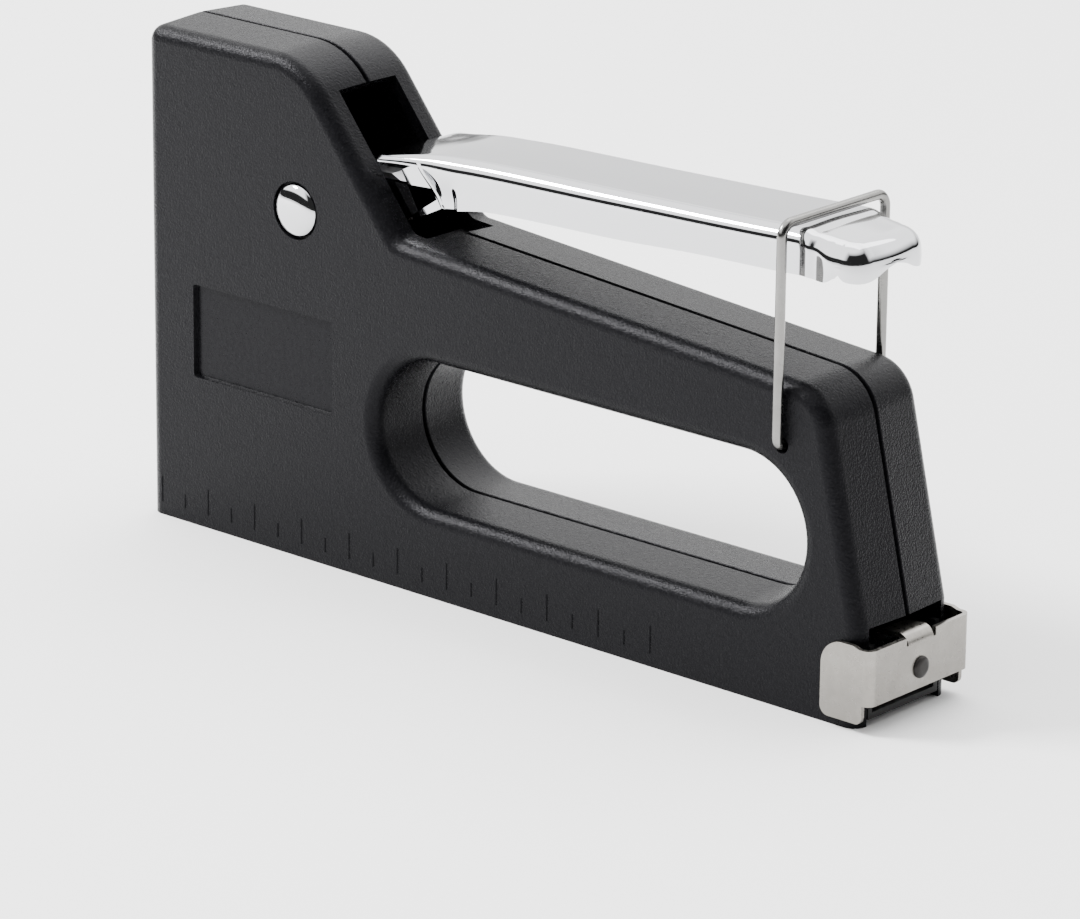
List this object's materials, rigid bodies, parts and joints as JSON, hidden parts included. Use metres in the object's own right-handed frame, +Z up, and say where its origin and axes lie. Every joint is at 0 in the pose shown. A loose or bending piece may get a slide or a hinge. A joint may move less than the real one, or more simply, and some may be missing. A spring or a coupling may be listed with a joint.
{
  "type": "hand staple gun",
  "caption": "Hand-squeezed staple gun with a loop-grip plastic body, channel lever held down by a wire bail, spring striker and a pull-out rear magazine.",
  "frame": {"origin": "centre of the bounding box in X and Y, on the base plane that the tool stands on", "axes": "+X from the nose to the rear end cap, +Y to the tool's right side, where the screws are, +Z up"},
  "size_m": [0.145, 0.0248, 0.0789],
  "materials": {
    "black_plastic": "black ABS with a fine spark-eroded grain",
    "chrome": "bright chrome plate",
    "nickel": "satin nickel plate",
    "spring_steel": "bright zinc-plated steel",
    "tool_steel": "hardened steel, lightly oiled",
    "black_steel": "blackened steel",
    "rubber": "black rubber"
  },
  "bodies": {
    "housing": {"left_housing": "black_plastic", "right_housing": "black_plastic", "housing_screw_1": "spring_steel", "housing_screw_2": "spring_steel", "housing_screw_3": "spring_steel", "housing_screw_4": "spring_steel", "housing_screw_5": "spring_steel", "pivot_rivet": "chrome", "pivot_rivet_cap": "chrome", "front_guide_plate": "tool_steel", "main_spring": "spring_steel", "spring_plug": "black_plastic", "rubber_bumper": "rubber", "magazine_channel": "black_steel", "staple_rail": "spring_steel", "rail_rivet_1": "spring_steel", "rail_rivet_2": "spring_steel"},
    "lever": {"lever_handle": "chrome", "lift_arm": "tool_steel", "lift_arm_pin": "spring_steel", "left_pivot_bushing": "tool_steel", "right_pivot_bushing": "tool_steel", "lever_return_spring": "spring_steel"},
    "striker": {"striker_blade": "tool_steel", "hammer_block": "tool_steel", "striker_rivet": "spring_steel"},
    "bail": {"lock_bail": "nickel"},
    "magazine_drawer": {"end_cap": "nickel", "cap_rivet": "black_steel", "follower_rod": "spring_steel", "rod_stop_clip": "spring_steel", "pusher_spring": "spring_steel"},
    "pusher": {"pusher": "spring_steel"}
  },
  "joints": [
    {"name": "lever_squeeze", "type": "hinge", "parent": "housing", "child": "lever", "pos_m": [-0.04048, 0, 0.055], "axis": [0, 1, 0], "range_deg": [0, 8.5], "stiffness_Nm_per_rad": 1.5, "springref_deg": -17.19, "deforming": ["lever_return_spring"]},
    {"name": "striker_lift", "type": "slide", "parent": "housing", "child": "striker", "axis": [0, 0, 1], "range_m": [0, 0.0033], "deforming": ["main_spring"]},
    {"name": "bail_swing", "type": "hinge", "parent": "housing", "child": "bail", "pos_m": [0.05412, 0, 0.0393], "axis": [0, 1, 0], "range_deg": [0, 140]},
    {"name": "magazine_pull", "type": "slide", "parent": "housing", "child": "magazine_drawer", "axis": [1, 0, 0], "range_m": [0, 0.125]},
    {"name": "pusher_slide", "type": "slide", "parent": "magazine_drawer", "child": "pusher", "axis": [1, 0, 0], "range_m": [0, 0.085], "stiffness_N_per_m": 20, "springref_m": -0.02, "deforming": ["pusher_spring"]}
  ],
  "couplings": [
    {"joint": "striker_lift", "follows": "lever_squeeze", "m_per_rad": 0.0218}
  ]
}
